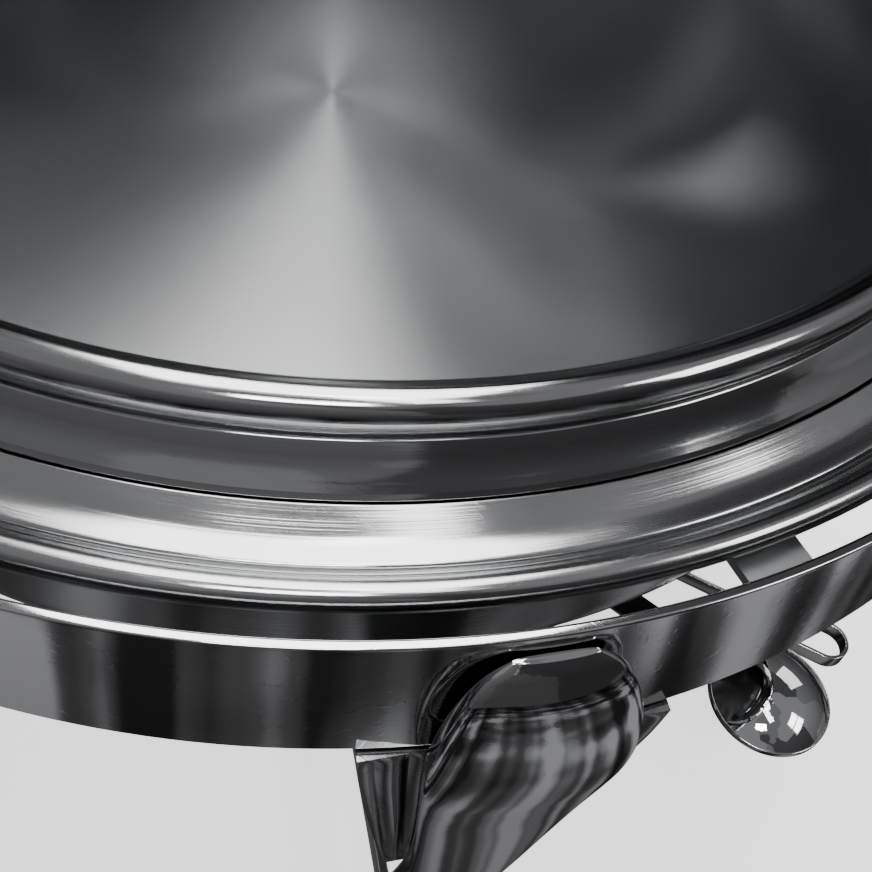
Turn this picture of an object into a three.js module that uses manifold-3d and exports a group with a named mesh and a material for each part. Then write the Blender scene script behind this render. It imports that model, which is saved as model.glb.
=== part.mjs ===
// Round roll top chafer, open, modelled in millimetres with +Z up.
// The origin lies on the table, on the upright axis of the round frame; the front faces -Y.
import * as THREE from 'three';
import { mergeVertices } from 'three/addons/utils/BufferGeometryUtils.js';
import Module from 'manifold-3d';

const wasm = await Module();
wasm.setup();

// ---- driving dimensions ----
const FRAME_R = 210;            // outer radius of the frame band
const FRAME_TOP = 250;          // height of the band's top edge above the table
const BAND_HEIGHT = 35.5;
const BAND_WALL = 2;
const GAP = 0.3;                // clearance left between touching pieces

const PIVOT_Z = FRAME_TOP - 15; // the lid turns about this height, along X
const LID_R = 206.4;            // outer radius of the lid's dome
const LID_WALL = 1;
const LID_RIM_RISE = 17;        // rim of the closed lid above the pivot axis
const LID_OPEN = 80;            // degrees the stored, open lid is rolled back
const EAR_R = 13;
const PIN_R = 3;
const HOLE_R = PIN_R + GAP;

const FOOD_BEAD_R = 173;        // middle of the food pan's rolled edge
const FOOD_BEAD_Z = FRAME_TOP + 13.3;
const FOOD_BEAD_TUBE = 4.55;
const FOOD_FLANGE_R = 183.2;
const FOOD_FLOOR_Z = FRAME_TOP - 48;
const SHEET = 1.1;              // wall of both pans

const WATER_BEAD_R = 199.2;     // middle of the water pan's rolled edge
const WATER_BEAD_Z = FRAME_TOP - 2;
const WATER_BEAD_TUBE = 3;
const WATER_FLOOR_Z = FRAME_TOP - 76;

const HOOP_R = 191;             // rod hoop under the water pan's edge
const HOOP_ROD = 3;
const HOOP_Z = FRAME_TOP - 8.9;
const BRACKET_ANGLES = [-80, -58, 0, 58, 80];

const LEG_ANGLES = { front_right: 45, rear_right: 135, rear_left: 225, front_left: 315 };
const LEG_BOTTOM = 4;           // height of the foot above the table, on its pad
const PLATE_WALL = 3;
const SCREW_Z = FRAME_TOP - 20;

const ARM_END = 183.5;          // reach of the flat arms that tie the legs to the burner seat
const SEAT_R = 48;
const SEAT_Z = 14;

const CUP_R = 43;
const CUP_BASE = SEAT_Z + 3.4;
const CUP_TOP = 66;
const LEVER_ANGLE = 85;         // bearing of the damper's thumb lever from the front, towards +X
const LOOP_ANGLE = 96;          // bearing of the cup's finger loop
const THUMB_R = 198;            // reach of the thumb rest from the axis
const LOOP_R = 204;             // reach of the finger loop from the axis
const DAMPER_PIN_R = 52;

const rad = THREE.MathUtils.degToRad;

// ---- geometry helpers ----

// A closed, indexed shell: shared corners merged, empty triangles dropped, faces pointing out.
function shell(geometry) {
  const g = geometry.clone();
  g.deleteAttribute('normal');
  g.deleteAttribute('uv');
  const merged = mergeVertices(g, 1e-4);
  const p = merged.getAttribute('position');
  const index = [];
  let volume = 0;
  const a = new THREE.Vector3();
  const b = new THREE.Vector3();
  const c = new THREE.Vector3();
  for (let i = 0; i < merged.index.count; i += 3) {
    const [u, v, w] = [merged.index.getX(i), merged.index.getX(i + 1), merged.index.getX(i + 2)];
    if (u === v || v === w || w === u) continue;
    index.push(u, v, w);
    a.fromBufferAttribute(p, u);
    b.fromBufferAttribute(p, v);
    c.fromBufferAttribute(p, w);
    volume += a.dot(b.cross(c));
  }
  if (volume < 0) {
    for (let i = 0; i < index.length; i += 3) [index[i + 1], index[i + 2]] = [index[i + 2], index[i + 1]];
  }
  merged.setIndex(index);
  return merged;
}

function toSolid(geometry) {
  const g = shell(geometry);
  const vertProperties = new Float32Array(g.getAttribute('position').array);
  return new wasm.Manifold(new wasm.Mesh({ numProp: 3, vertProperties, triVerts: new Uint32Array(g.index.array) }));
}

function fromSolid(solid) {
  const mesh = solid.getMesh();
  const g = new THREE.BufferGeometry();
  g.setAttribute('position', new THREE.BufferAttribute(new Float32Array(mesh.vertProperties), 3));
  g.setIndex([...mesh.triVerts]);
  return g;
}

const join = (...parts) => fromSolid(parts.map(toSolid).reduce((whole, part) => whole.add(part)));
const cut = (body, ...tools) => fromSolid(tools.map(toSolid).reduce((whole, tool) => whole.subtract(tool), toSolid(body)));

// A closed [radius, height] outline turned about Z.
function revolve(outline, segments = 52) {
  const points = outline.map(([r, z]) => new THREE.Vector2(r, z));
  points.push(points[0].clone());
  return new THREE.LatheGeometry(points, segments).rotateX(Math.PI / 2);
}

// Points of an arc in the [radius, height] plane, angles in degrees from the outward direction.
function arc(cr, cz, radius, from, to, steps) {
  return Array.from({ length: steps + 1 }, (_, i) => {
    const t = rad(from + ((to - from) * i) / steps);
    return [cr + radius * Math.cos(t), cz + radius * Math.sin(t)];
  });
}

// An outline of [x, y] points extruded along +Z by depth.
function prism(outline, depth, holes = []) {
  const shape = new THREE.Shape(outline.map(([x, y]) => new THREE.Vector2(x, y)));
  for (const hole of holes) shape.holes.push(new THREE.Path(hole.map(([x, y]) => new THREE.Vector2(x, y))));
  return new THREE.ExtrudeGeometry(shape, { depth, bevelEnabled: false });
}

// A cylinder along +Z from z0 to z1.
const rod = (radius, z0, z1, sides = 20) =>
  new THREE.CylinderGeometry(radius, radius, z1 - z0, sides).rotateX(Math.PI / 2).translate(0, 0, (z0 + z1) / 2);

// A cylinder along the outward direction of the local frame (+X) from x0 to x1.
const radialRod = (radius, x0, x1, sides = 20) => rod(radius, x0, x1, sides).rotateY(Math.PI / 2);

// A round bar that follows a curve.
function bar(curve, radius, steps, sides = 12) {
  const section = new THREE.Shape();
  for (let i = 0; i < sides; i++) {
    const t = (2 * Math.PI * i) / sides;
    section[i ? 'lineTo' : 'moveTo'](radius * Math.cos(t), radius * Math.sin(t));
  }
  return new THREE.ExtrudeGeometry(section, { steps, extrudePath: curve, bevelEnabled: false });
}

// Sections given as rings of points, joined one to the next and capped at both ends.
function loft(rings) {
  const n = rings[0].length;
  const positions = rings.flat(2);
  const index = [];
  for (let k = 0; k + 1 < rings.length; k++) {
    for (let i = 0; i < n; i++) {
      const j = (i + 1) % n;
      index.push(k * n + i, k * n + j, (k + 1) * n + j, k * n + i, (k + 1) * n + j, (k + 1) * n + i);
    }
  }
  const last = (rings.length - 1) * n;
  for (let i = 1; i + 1 < n; i++) index.push(0, i + 1, i, last, last + i, last + i + 1);
  const g = new THREE.BufferGeometry();
  g.setAttribute('position', new THREE.Float32BufferAttribute(positions, 3));
  g.setIndex(index);
  return g;
}

// ---- materials ----
const finishes = {
  polished: { color: 0xc4c6c8, roughness: 0.12, metalness: 1 },
  spun: { color: 0xa9abad, roughness: 0.36, metalness: 1 },
  satin: { color: 0xb6b8ba, roughness: 0.28, metalness: 1 },
  chrome: { color: 0xd6d8da, roughness: 0.05, metalness: 1 },
  rubber: { color: 0x1c1c1d, roughness: 0.8, metalness: 0 },
  nylon: { color: 0xe4e2dc, roughness: 0.55, metalness: 0 },
};

const chafer = new THREE.Group();

function piece(name, geometry, finish, parent = chafer) {
  const mesh = new THREE.Mesh(shell(geometry), new THREE.MeshStandardMaterial(finishes[finish]));
  mesh.name = name;
  parent.add(mesh);
  return mesh;
}

// A group turned so that its +X points outward at a bearing measured from the front, -Y, towards +X.
function outwardAt(bearing, parent = chafer) {
  const group = new THREE.Group();
  group.rotation.z = rad(bearing - 90);
  parent.add(group);
  return group;
}

// ---- frame ----
function frameRing() {
  const bottom = FRAME_TOP - BAND_HEIGHT;
  const inner = FRAME_R - BAND_WALL;
  const band = revolve([[inner, bottom], [FRAME_R, bottom], [FRAME_R, FRAME_TOP], [inner, FRAME_TOP]], 72);
  const holes = [];
  for (const side of [0, 180]) holes.push(radialRod(HOLE_R, FRAME_R - 12, FRAME_R + 12).rotateZ(rad(side)).translate(0, 0, PIVOT_Z));
  for (const bearing of Object.values(LEG_ANGLES)) {
    holes.push(radialRod(HOLE_R, FRAME_R - 12, FRAME_R + 12).rotateZ(rad(bearing - 90)).translate(0, 0, SCREW_Z));
  }
  return cut(band, ...holes);
}

function supportHoop() {
  return revolve(arc(HOOP_R, HOOP_Z, HOOP_ROD, 0, 315, 7), 48);
}

// L-shaped strap: a flat arm under the hoop's outer side and a tab against the band's inner wall.
function hoopBracket() {
  const inner = HOOP_R + HOOP_ROD + GAP;
  const outer = FRAME_R - BAND_WALL - 0.6;
  const strap = [[inner, -10], [outer, -24], [outer, -7.6], [inner, -7.6]];
  strap.splice(1, 1, [outer - 2.2, -10], [outer - 2.2, -24], [outer, -24]);
  return prism(strap, 14).translate(0, 0, -7).rotateX(Math.PI / 2).translate(0, 0, FRAME_TOP);
}

// Stations down a leg: [height below the band's top, inner reach, outer reach, half width].
const LEG_STATIONS = [
  [-4.2, 210.5, 212, 7.4],
  [-7, 210.5, 214.2, 11.6],
  [-12, 210.5, 217.4, 15],
  [-20, 210.5, 220.2, 17.6],
  [-29, 210.5, 221.6, 18.9],
  [-38, 210.5, 221.4, 19],
  [-48, 209.8, 220, 18.2],
  [-62, 208.6, 217.8, 16.8],
  [-80, 206.4, 215.6, 15],
  [-105, 202.4, 212.6, 13],
  [-135, 196, 208, 12.2],
  [-165, 189, 203, 11.4],
  [-195, 185, 199.6, 10.8],
  [-218, 183.8, 200.4, 10.8],
  [-236, 184.2, 205, 12],
  [LEG_BOTTOM - FRAME_TOP, 185.5, 209, 13],
];

function leg() {
  const sides = 20;
  const rings = LEG_STATIONS.map(([z, inner, outer, half]) => {
    const depth = (outer - inner) / 2;
    return Array.from({ length: sides }, (_, i) => {
      const t = (2 * Math.PI * i) / sides;
      const round = Math.cos(t);
      const flat = round < 0 ? -Math.pow(-round, 0.35) : round;
      return [inner + depth * (1 + flat), half * Math.sin(t), FRAME_TOP + z];
    });
  });
  const pocket = radialRod(HOLE_R, FRAME_R - 3, FRAME_R + 7).translate(0, 0, SCREW_Z);
  return cut(loft(rings), pocket);
}

// Ribbed web behind a leg: [height below the band's top, outer face, half width].
const PLATE_STATIONS = [
  [-36.6, 210, 29.6],
  [-48, 209.5, 28.4],
  [-62, 208.3, 26.2],
  [-80, 206.2, 23],
  [-105, 202.2, 18.6],
  [-135, 195.8, 13],
];

function legPlate() {
  const rings = PLATE_STATIONS.map(([z, face, half]) => {
    const [outer, inner] = [face - GAP, face - GAP - PLATE_WALL];
    return [[outer, -half, FRAME_TOP + z], [outer, half, FRAME_TOP + z], [inner, half, FRAME_TOP + z], [inner, -half, FRAME_TOP + z]];
  });
  return loft(rings);
}

const legScrew = () => radialRod(PIN_R, FRAME_R - BAND_WALL + 0.2, FRAME_R + 6.4);

function footPad() {
  return revolve([[0, 0], [9.5, 0], [10.5, 1.2], [10.5, LEG_BOTTOM - GAP], [0, LEG_BOTTOM - GAP]], 24).translate(198.5, 0, 0);
}

// Flat bar on edge, from the burner seat out to the leg.
const lowerArm = () => new THREE.BoxGeometry(ARM_END - SEAT_R - 0.6, 3, 12)
  .translate((ARM_END + SEAT_R + 0.6) / 2, 0, SEAT_Z + 6);

// Ring with a raised lip that locates the burner cup.
function burnerSeat() {
  return revolve([[30, SEAT_Z], [SEAT_R, SEAT_Z], [SEAT_R, SEAT_Z + 9], [SEAT_R - 2.5, SEAT_Z + 9], [SEAT_R - 2.5, SEAT_Z + 3], [30, SEAT_Z + 3]], 40);
}

piece('frame_ring', frameRing(), 'polished');
piece('support_hoop', supportHoop(), 'satin');
BRACKET_ANGLES.forEach((bearing, i) => piece(`hoop_bracket_${i + 1}`, hoopBracket(), 'satin', outwardAt(bearing)));
for (const [corner, bearing] of Object.entries(LEG_ANGLES)) {
  const place = outwardAt(bearing);
  piece(`leg_${corner}`, leg(), 'chrome', place);
  piece(`leg_plate_${corner}`, legPlate(), 'chrome', place);
  piece(`leg_screw_${corner}`, legScrew().translate(0, 0, SCREW_Z), 'satin', place);
  piece(`foot_pad_${corner}`, footPad(), 'rubber', place);
  piece(`lower_arm_${corner}`, lowerArm(), 'satin', place);
}
piece('burner_seat', burnerSeat(), 'satin');

// ---- lid pivots, one on each side ----
// Domed thumb knob with a blind bore for the end of the pin.
function pivotKnob(start) {
  const outline = [
    [0, start + 8], [HOLE_R, start + 8], [HOLE_R, start], [9, start], [9, start + 3],
    ...arc(0, start + 3, 14, 0, 90, 7).map(([r, z]) => [r, start + 3 + (z - start - 3) * 0.75]),
  ];
  return revolve(outline, 28).rotateY(Math.PI / 2);
}

for (const [side, bearing] of [['right', 90], ['left', -90]]) {
  const place = outwardAt(bearing);
  place.position.z = PIVOT_Z;
  const washerEnd = FRAME_R + GAP + 1.5;
  piece(`pivot_pin_${side}`, radialRod(PIN_R, 199, washerEnd + GAP + 7.4), 'satin', place);
  piece(`pivot_washer_${side}`, cut(radialRod(9, FRAME_R + GAP, washerEnd), radialRod(HOLE_R, 200, 220)), 'nylon', place);
  piece(`pivot_knob_${side}`, pivotKnob(washerEnd + GAP), 'chrome', place);
  piece(`pivot_collar_${side}`, cut(radialRod(6.5, 200.2, 204.2), radialRod(HOLE_R, 199, 206)), 'satin', place);
}

// Rubber pegs inside the band, [distance behind the pivot, height above it]: the lid's rim
// meets the first pair when it is fully open and the second pair when it is shut.
const STOPS = { open: [17.4, -17.6], shut: [-24, LID_RIM_RISE - 2.9] };
for (const [when, [behind, above]] of Object.entries(STOPS)) {
  for (const [side, sign] of [['right', 1], ['left', -1]]) {
    const place = outwardAt(sign * (90 + (Math.asin(behind / FRAME_R) * 180) / Math.PI));
    place.position.z = PIVOT_Z + above;
    const peg = radialRod(2.5, FRAME_R - BAND_WALL - 4.6, FRAME_R - BAND_WALL - 0.6, 12);
    piece(`lid_stop_${when}_${side}`, peg, 'rubber', place);
  }
}

// ---- lid: modelled shut about its pivot axis, then rolled back to its open place ----
const lid = new THREE.Group();
lid.position.z = PIVOT_Z;
lid.rotation.x = -rad(LID_OPEN);
chafer.add(lid);

function lidDome() {
  const lowest = -4;
  const steps = 10;
  const outline = [
    ...arc(0, 0, LID_R, lowest, 90, steps),
    ...arc(0, 0, LID_R - LID_WALL, 90, lowest, steps),
  ];
  const cap = revolve(outline, 56);
  const below = [[-230, -40], [230, -40], [230, LID_RIM_RISE], [EAR_R + 6, LID_RIM_RISE], [EAR_R + 1.6, LID_RIM_RISE - 3]];
  below.push(...arc(0, 0, EAR_R, 0, -180, 10), [-EAR_R - 1.6, LID_RIM_RISE - 3], [-EAR_R - 6, LID_RIM_RISE], [-230, LID_RIM_RISE]);
  const rimCutter = prism(below, 460).translate(0, 0, -230).rotateX(Math.PI / 2).rotateZ(Math.PI / 2);
  const bore = rod(HOLE_R, -230, 230).rotateY(Math.PI / 2);
  return cut(cap, rimCutter, bore);
}

piece('lid_dome', lidDome(), 'polished', lid);

// Front handle: local +X points out of the dome, local Y runs along the bar.
const handle = new THREE.Group();
handle.rotation.set(0, -rad(24), -Math.PI / 2, 'ZYX');
lid.add(handle);
const HANDLE_HALF = 58;
const POST_SPREAD = 44;
const ROSETTE_BASE = LID_R - 3.9;
const BAR_R = 6.5;
const BAR_REACH = LID_R + 31;

function handleGrip() {
  const curve = new THREE.QuadraticBezierCurve3(
    new THREE.Vector3(BAR_REACH - 9, -HANDLE_HALF, 0),
    new THREE.Vector3(BAR_REACH + 13, 0, 0),
    new THREE.Vector3(BAR_REACH - 9, HANDLE_HALF, 0),
  );
  return bar(curve, BAR_R, 14);
}

piece('lid_handle_grip', handleGrip(), 'chrome', handle);
for (const [side, y] of [['right', POST_SPREAD], ['left', -POST_SPREAD]]) {
  const tilt = new THREE.Group();
  tilt.rotation.z = Math.atan2(y, LID_R);
  handle.add(tilt);
  piece(`lid_rosette_${side}`, radialRod(12, LID_R + GAP, LID_R + 3, 24), 'chrome', tilt);
  piece(`lid_handle_post_${side}`, radialRod(5, LID_R + 3 + GAP, LID_R + 23, 16), 'chrome', tilt);
  piece(`lid_handle_nut_${side}`, radialRod(6, LID_R - LID_WALL - 7.2, LID_R - LID_WALL - 1.2, 6), 'satin', tilt);
}

// ---- pans ----
function foodPan() {
  const [br, bz, tube] = [FOOD_BEAD_R, FOOD_BEAD_Z, FOOD_BEAD_TUBE];
  const flangeTop = FRAME_TOP + 1.1;
  const outline = [
    [0, FOOD_FLOOR_Z], [70, FOOD_FLOOR_Z + 0.4], [125, FOOD_FLOOR_Z + 3],
    ...arc(146, FOOD_FLOOR_Z + 28, 23.5, -68, -6, 4),
    ...arc(br, bz, tube, 190, -60, 9),
    [174.8, flangeTop + 7.4], [176.3, flangeTop + 7.5], [179.3, flangeTop + 3.6], [182.8, flangeTop + 0.4],
    [FOOD_FLANGE_R, flangeTop - 0.9], [FOOD_FLANGE_R, flangeTop - SHEET - 0.2], [179.2, flangeTop - SHEET - 0.2],
    [173.6, flangeTop + 3], [171.4, flangeTop - 12],
    ...arc(146, FOOD_FLOOR_Z + 28, 23.5 + SHEET, -6, -68, 4),
    [125, FOOD_FLOOR_Z + 3 - SHEET], [0, FOOD_FLOOR_Z - SHEET],
  ];
  return revolve(outline);
}

function waterPan() {
  const [br, bz, tube] = [WATER_BEAD_R, WATER_BEAD_Z, WATER_BEAD_TUBE];
  const collarTop = FRAME_TOP + 1.0;
  const ledge = FRAME_TOP - 2.2;
  const seat = FRAME_TOP - 1.6;
  const wall = 176.8;
  const outline = [
    [0, WATER_FLOOR_Z], [150, WATER_FLOOR_Z],
    ...arc(wall - 18, WATER_FLOOR_Z + 18, 18, -72, 0, 4),
    [wall, seat - 2.5], [178, seat], [183.6, seat], [183.6, collarTop],
    [189.8, ledge + 0.1], [193.8, ledge], [194.6, ledge - 1.9],
    ...arc(br, bz, tube, 200, -100, 8),
    [195.6, bz - 3], [194, ledge - 3.1], [184.8, ledge - 3.1], [183.4, seat - SHEET - 0.9], [wall + SHEET + 0.6, seat - SHEET - 1.6],
    ...arc(wall - 18, WATER_FLOOR_Z + 18, 18 + SHEET, 0, -72, 4),
    [150, WATER_FLOOR_Z - SHEET], [0, WATER_FLOOR_Z - SHEET],
  ];
  return revolve(outline);
}

piece('water_pan', waterPan(), 'polished');
piece('food_pan', foodPan(), 'spun');

// ---- burner: cup with a looped handle, and a swivelling damper with a thumb rest ----
function burnerCup() {
  const cup = revolve([
    [0, CUP_BASE], [CUP_R - 1.5, CUP_BASE], [CUP_R, CUP_BASE + 1.5], [CUP_R, CUP_TOP],
    [CUP_R - 1.2, CUP_TOP], [CUP_R - 1.2, CUP_BASE + 1.4], [0, CUP_BASE + 1.4],
  ], 40);
  const lug = new THREE.BoxGeometry(DAMPER_PIN_R + 7 - CUP_R + 0.6, 16, 4).translate((DAMPER_PIN_R + 7 + CUP_R - 0.6) / 2, 0, CUP_TOP - 3);
  const turned = lug.rotateZ(rad(LEVER_ANGLE - 90));
  return cut(join(cup, turned), rod(HOLE_R, CUP_TOP - 12, CUP_TOP + 4).translate(...pinPlace()));
}

const pinPlace = () => [DAMPER_PIN_R * Math.cos(rad(LEVER_ANGLE - 90)), DAMPER_PIN_R * Math.sin(rad(LEVER_ANGLE - 90)), 0];

// Strip on edge: it leaves the cup wall, runs out below the lever and closes on itself as a loop.
function cupHandle() {
  const strip = 1.4;
  const loopHalf = 7.4;
  const long = 5;
  const neck = LOOP_R - long - loopHalf;
  const outer = [[CUP_R + GAP, -0.7], [neck - 4, -0.7], [neck, -2.4], ...arc(LOOP_R - long, 0, loopHalf, 215, 270, 3)];
  outer.push(...arc(LOOP_R + long, 0, loopHalf, -90, 90, 10), ...arc(LOOP_R - long, 0, loopHalf, 90, 145, 3));
  outer.push([neck, 2.4], [neck - 4, 0.7], [CUP_R + GAP, 0.7]);
  const hole = [...arc(LOOP_R - long, 0, loopHalf - strip, 90, 270, 8), ...arc(LOOP_R + long, 0, loopHalf - strip, -90, 90, 8)];
  return prism(outer, 6, [hole]).translate(0, 0, CUP_TOP - 11.4);
}

function damper() {
  const disc = rod(CUP_R - 1, 0, 1.4, 36).translate(-DAMPER_PIN_R, 0, 0);
  const lever = new THREE.BoxGeometry(THUMB_R - DAMPER_PIN_R + 20, 11, 1.4).translate((THUMB_R - DAMPER_PIN_R - 20) / 2, 0, 0.7);
  return cut(join(disc, lever), rod(HOLE_R, -3, 5));
}

// Spoon-shaped thumb rest, a shallow dome with a rolled rim, tilted outward.
function thumbRest() {
  const outline = [
    [0, 8.3], ...arc(0, -21.2, 29.5, 78, 49, 4), [20, 0.9], [20, -1.4],
    [18.6, -1.4], [18.2, 0.2], [9.5, 5.1], [0, 6.8],
  ];
  return revolve(outline, 32);
}

const burner = new THREE.Group();
chafer.add(burner);
piece('burner_cup', burnerCup(), 'satin', burner);
const loopPlace = outwardAt(LOOP_ANGLE, burner);
piece('burner_loop_handle', cupHandle(), 'polished', loopPlace);

const leverPlace = outwardAt(LEVER_ANGLE, burner);
leverPlace.position.set(...pinPlace().slice(0, 2), CUP_TOP + GAP);
piece('damper_plate', damper(), 'polished', leverPlace);
const damperPin = join(rod(PIN_R, -9, 2.4), rod(5.5, 1.4 + GAP, 3.6));
piece('damper_pin', damperPin, 'satin', leverPlace);
const rest = piece('damper_thumb_rest', thumbRest(), 'chrome', leverPlace);
rest.position.set(THUMB_R - DAMPER_PIN_R, 0, 1.4 + GAP + 1.5);

export default chafer;
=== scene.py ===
import math

import bmesh
import bpy
import numpy as np
from mathutils import Matrix, Vector


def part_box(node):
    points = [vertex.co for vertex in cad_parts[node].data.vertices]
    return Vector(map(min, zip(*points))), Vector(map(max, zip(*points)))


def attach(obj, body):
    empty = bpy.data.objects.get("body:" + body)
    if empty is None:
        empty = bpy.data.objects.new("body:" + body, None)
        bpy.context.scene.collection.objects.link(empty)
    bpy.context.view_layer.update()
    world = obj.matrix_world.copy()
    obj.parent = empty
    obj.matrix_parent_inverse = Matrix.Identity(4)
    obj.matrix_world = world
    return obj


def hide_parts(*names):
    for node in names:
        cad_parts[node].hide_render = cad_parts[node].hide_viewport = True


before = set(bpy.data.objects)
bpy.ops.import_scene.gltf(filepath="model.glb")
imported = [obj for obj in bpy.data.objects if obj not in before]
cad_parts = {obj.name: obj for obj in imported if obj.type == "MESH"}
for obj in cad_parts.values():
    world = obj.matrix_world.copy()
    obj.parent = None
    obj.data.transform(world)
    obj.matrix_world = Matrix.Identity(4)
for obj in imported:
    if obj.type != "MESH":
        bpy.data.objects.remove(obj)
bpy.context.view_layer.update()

# ---------------------------------------------------------------------------
# Frame band: a 2 mm stainless flat bar bent to a hoop, 420 mm across, with its
# cut edges ground round and its outer face polished to a mirror.
# ---------------------------------------------------------------------------
band_low, band_high = (np.array(corner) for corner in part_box("frame_ring"))
BAND_R = float(band_high[0])
BAND_TOP = float(band_high[2])
BAND_BOTTOM = float(band_low[2])
BAND_WALL = 0.002
BEARINGS = {"front_right": 45, "rear_right": 135, "rear_left": 225, "front_left": 315}


def rounded(corners, steps=5):
    """Rounds the corners of a closed outline. Each corner is (x, y, radius): the two sides are cut back
    by the radius (at most 45 % of the shorter side) and joined by a quadratic arc through the corner."""
    points = np.array([c[:2] for c in corners], float)
    radius = np.array([c[2] for c in corners], float)
    before, after = np.roll(points, 1, 0) - points, np.roll(points, -1, 0) - points
    len_b, len_a = np.linalg.norm(before, axis=1), np.linalg.norm(after, axis=1)
    reach = np.minimum(radius, 0.45 * np.minimum(len_b, len_a))
    start = points + before * (reach / len_b)[:, None]
    end = points + after * (reach / len_a)[:, None]
    t = np.linspace(0, 1, steps + 1)[None, :, None]
    arcs = (1 - t) ** 2 * start[:, None] + 2 * t * (1 - t) * points[:, None] + t**2 * end[:, None]
    keep = np.where(reach[:, None] > 1e-7, True, np.arange(steps + 1)[None] == 0)
    return arcs[keep]


def arc(cx, cy, radius, start, stop, steps):
    """Points (x, y) round a centre from one angle to another, in degrees from +x."""
    t = np.radians(np.linspace(start, stop, steps + 1))
    return np.stack([cx + radius * np.cos(t), cy + radius * np.sin(t)], 1)


def grid_faces(rows, columns, wrap_rows, wrap_columns):
    """Quads between neighbouring points of a grid, closed across either direction where asked."""
    i = np.arange(rows if wrap_rows else rows - 1)[:, None]
    j = np.arange(columns if wrap_columns else columns - 1)[None, :]
    i2, j2 = (i + 1) % rows, (j + 1) % columns
    quads = [i * columns + j, i * columns + j2, i2 * columns + j2, i2 * columns + j]
    return np.stack([np.broadcast_to(q, (i.size, j.size)) for q in quads], -1).reshape(-1, 4)


def turned(outline, segments=256):
    """A closed (radius, height) outline turned about Z: point k of the outline goes to the angle t as
    (radius cos t, radius sin t, height). Returns its corners and quads."""
    outline = np.asarray(outline, float)
    t = np.linspace(0, 2 * np.pi, segments, endpoint=False)
    r, z = outline[:, :1], outline[:, 1:]
    corners = np.stack([r * np.cos(t), r * np.sin(t), np.broadcast_to(z, (len(outline), segments))], -1)
    return corners.reshape(-1, 3), grid_faces(len(outline), segments, True, True)


def carried(path, outline, closed_path=False, side=None, scale=None):
    """A closed outline of (sideways, upward) offsets carried along a path of points. The sideways
    direction at each point is side, or the path's direction crossed with +Z, and the upward direction
    is at right angles to both. scale grows the outline along the path."""
    path = np.asarray(path, float)
    outline = np.asarray(outline, float)
    ahead = np.roll(path, -1, 0) - np.roll(path, 1, 0) if closed_path else np.gradient(path, axis=0)
    ahead /= np.linalg.norm(ahead, axis=1)[:, None]
    sideways = np.cross(ahead, [0, 0, 1.0]) if side is None else np.broadcast_to(np.asarray(side, float),
                                                                                 path.shape)
    sideways = sideways - (sideways * ahead).sum(1)[:, None] * ahead
    sideways /= np.linalg.norm(sideways, axis=1)[:, None]
    upward = np.cross(sideways, ahead)
    grow = np.ones(len(path)) if scale is None else np.asarray(scale, float)
    offset = outline[None] * grow.reshape(len(path), -1, 1 if grow.ndim < 2 else 2)
    corners = path[:, None] + offset[..., :1] * sideways[:, None] + offset[..., 1:] * upward[:, None]
    return corners.reshape(-1, 3), grid_faces(len(path), len(outline), closed_path, True)


def placed(shape, bearing=0.0, lift=0.0):
    """Turns a shape whose +X points outward to a bearing from the front towards +X, and lifts it."""
    corners, faces = shape
    t = math.radians(bearing - 90)
    turn = np.array([[math.cos(t), -math.sin(t), 0], [math.sin(t), math.cos(t), 0], [0, 0, 1]])
    return corners @ turn.T + [0, 0, lift], faces


def together(*shapes):
    """Several closed shapes as one set of corners and faces."""
    starts = np.cumsum([0] + [len(s[0]) for s in shapes[:-1]])
    faces = [tuple(int(v) + int(start) for v in face) for s, start in zip(shapes, starts) for face in s[1]]
    return np.concatenate([s[0] for s in shapes]), faces


def make(name, shape, material, body, nodes, sharp=35, bevel=0.0, cap=False):
    """Puts a shape into a mesh object: merges doubled corners, closes open ends when cap is set, turns the
    faces outward, smooths all but the edges sharper than the angle, parents it to its body's empty and
    hides its CAD nodes."""
    corners, faces = shape
    mesh = bpy.data.meshes.new(name)
    mesh.from_pydata(np.asarray(corners).tolist(), [], [list(map(int, f)) for f in faces])
    work = bmesh.new()
    work.from_mesh(mesh)
    bmesh.ops.remove_doubles(work, verts=work.verts, dist=2e-6)
    bmesh.ops.dissolve_degenerate(work, edges=work.edges, dist=1e-6)
    if cap:
        bmesh.ops.holes_fill(work, edges=[e for e in work.edges if e.is_boundary], sides=0)
    bmesh.ops.recalc_face_normals(work, faces=work.faces)
    work.to_mesh(mesh)
    work.free()
    mesh.shade_smooth()
    mesh.set_sharp_from_angle(angle=math.radians(sharp))
    mesh.materials.append(material)
    obj = bpy.data.objects.new(name, mesh)
    bpy.context.scene.collection.objects.link(obj)
    if bevel:
        rounding = obj.modifiers.new("edge_round", "BEVEL")
        rounding.width = bevel
        rounding.segments = 3
        rounding.limit_method = "ANGLE"
        rounding.angle_limit = math.radians(40)
    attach(obj, body)
    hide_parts(*nodes)
    return obj


def node_group(name, inputs, outputs):
    """An empty shader group with float inputs {name: value} and outputs {name: socket type}."""
    group = bpy.data.node_groups.new(name, "ShaderNodeTree")
    for key, value in inputs.items():
        socket = group.interface.new_socket(name=key, in_out="INPUT", socket_type="NodeSocketFloat")
        socket.default_value = value
    for key, kind in outputs.items():
        group.interface.new_socket(name=key, in_out="OUTPUT", socket_type=kind)
    return group, group.nodes.new("NodeGroupInput"), group.nodes.new("NodeGroupOutput")


def wire(tree, kind, settings=None, links=None):
    """Adds one node, sets its properties and sockets, and joins other nodes' sockets to it."""
    node = tree.nodes.new(kind)
    for key, value in (settings or {}).items():
        if isinstance(key, str) and hasattr(node, key):
            setattr(node, key, value)
        else:
            node.inputs[key].default_value = value
    for key, source in (links or {}).items():
        tree.links.new(source, node.inputs[key])
    return node


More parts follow.
